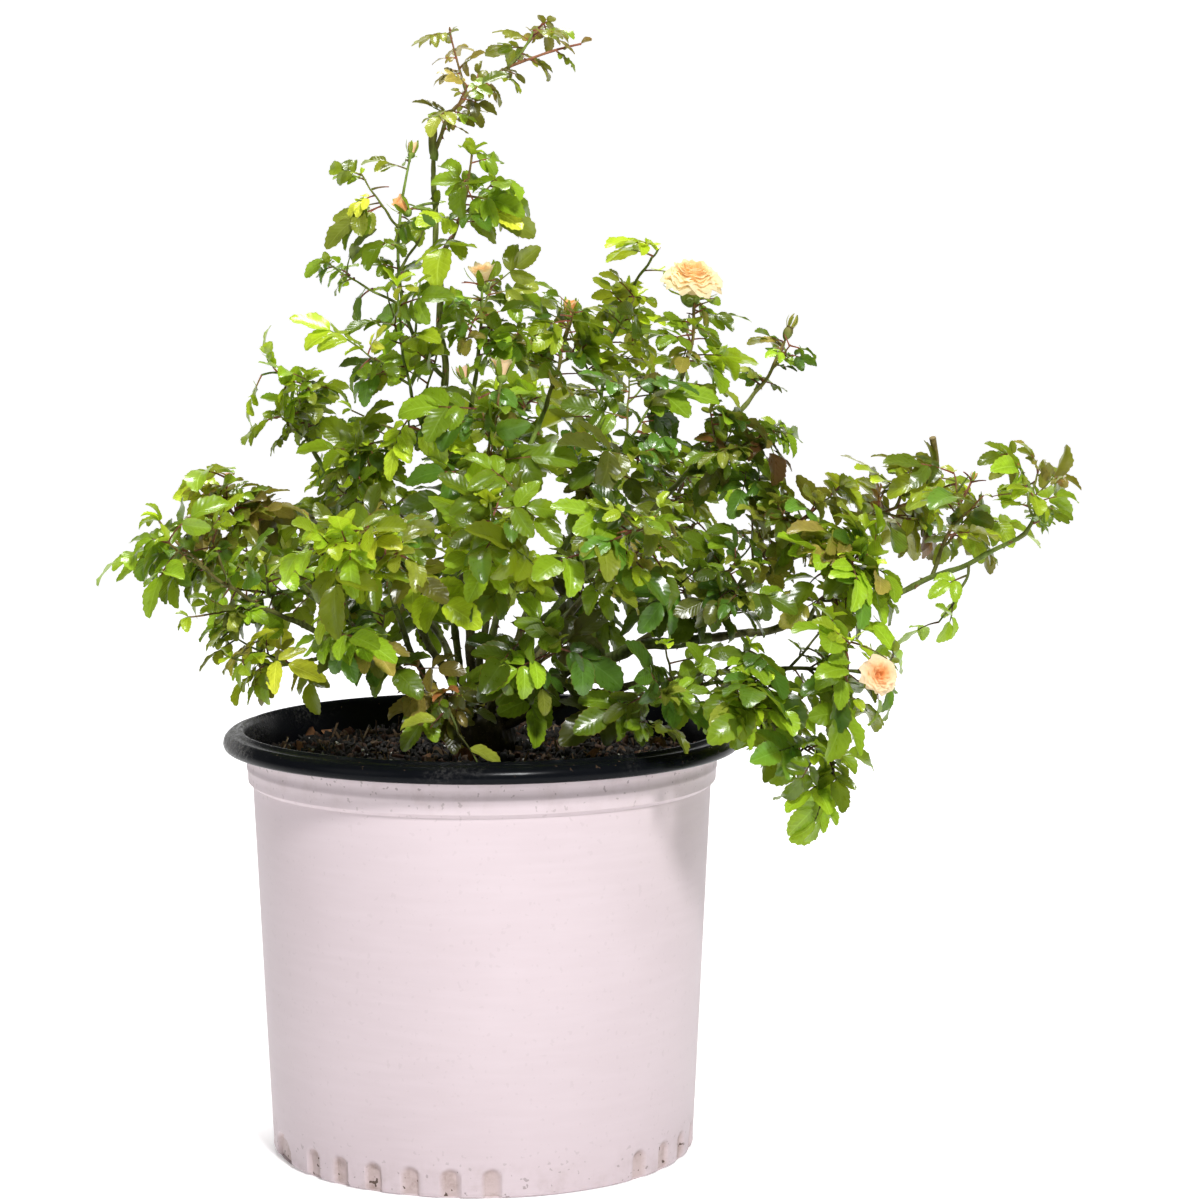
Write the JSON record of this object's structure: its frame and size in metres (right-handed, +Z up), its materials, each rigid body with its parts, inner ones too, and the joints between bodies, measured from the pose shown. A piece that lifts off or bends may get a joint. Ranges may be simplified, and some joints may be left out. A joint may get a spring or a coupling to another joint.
{
  "type": "potted rose bush",
  "caption": "Patio rose bush with arching canes, glossy green leaves, an apricot bloom and buds, growing in a pink plastic nursery pot with a black rolled rim.",
  "frame": {"origin": "centre of the pot's flat underside", "axes": "+Z up the plant, +X toward the long right-hand wing of the bush as seen from the front, -Y the front"},
  "size_m": [0.5227, 0.3179, 0.6199],
  "materials": {
    "pot_plastic": "blow-moulded, satin pink, black rolled rim",
    "potting_soil": "dark bark-based potting mix",
    "old_bark": "dark ridged bark",
    "young_bark": "smooth green bark, flushed red",
    "fresh_leaf": "glossy mid-green leaves",
    "deep_leaf": "glossy deep green leaves",
    "lime_leaf": "yellow-green leaves",
    "bronze_leaf": "bronze-flushed young leaves"
  },
  "bodies": {
    "root": {"pot": "pot_plastic", "soil": "potting_soil", "root_crown": "old_bark", "tall_cane": "young_bark", "left_top_cane": "young_bark", "left_mid_cane": "old_bark", "left_low_cane": "old_bark", "front_left_cane": "young_bark", "front_right_cane": "young_bark", "centre_cane": "young_bark", "bud_cane": "young_bark", "right_top_cane": "young_bark", "hip_cane": "young_bark", "old_right_cane": "old_bark", "wing_cane": "young_bark", "wing_top_cane": "young_bark", "low_right_cane": "old_bark", "back_left_cane": "young_bark", "back_cane": "young_bark", "back_right_cane": "young_bark", "tall_top_spray": "bronze_leaf", "tall_side_spray": "fresh_leaf", "shoulder_spray": "fresh_leaf", "column_spray": "fresh_leaf", "left_top_spray": "fresh_leaf", "left_inner_spray": "fresh_leaf", "bronze_spray": "bronze_leaf", "left_mid_spray": "fresh_leaf", "left_base_spray": "deep_leaf", "left_low_spray": "fresh_leaf", "left_droop_spray": "lime_leaf", "centre_left_spray": "lime_leaf", "low_left_spray": "deep_leaf", "low_front_spray": "bronze_leaf", "low_centre_spray": "deep_leaf", "centre_front_spray": "lime_leaf", "centre_right_spray": "fresh_leaf", "half_open_spray": "fresh_leaf", "upper_front_spray": "fresh_leaf", "bud_spray": "fresh_leaf", "crest_spray": "lime_leaf", "bloom_spray": "fresh_leaf", "right_inner_spray": "deep_leaf", "hip_spray": "deep_leaf", "right_shoulder_spray": "deep_leaf", "wing_tip_spray": "fresh_leaf", "wing_bud_spray": "bronze_leaf", "right_mid_spray": "fresh_leaf", "wing_top_spray": "bronze_leaf", "wing_base_spray": "bronze_leaf", "under_base_spray": "deep_leaf", "right_bloom_spray": "fresh_leaf", "right_base_spray": "fresh_leaf", "right_droop_spray": "fresh_leaf", "low_right_spray": "deep_leaf", "back_left_spray": "fresh_leaf", "back_low_left_spray": "deep_leaf", "back_centre_spray": "fresh_leaf", "back_right_spray": "fresh_leaf", "back_low_right_spray": "deep_leaf"}
  },
  "joints": []
}
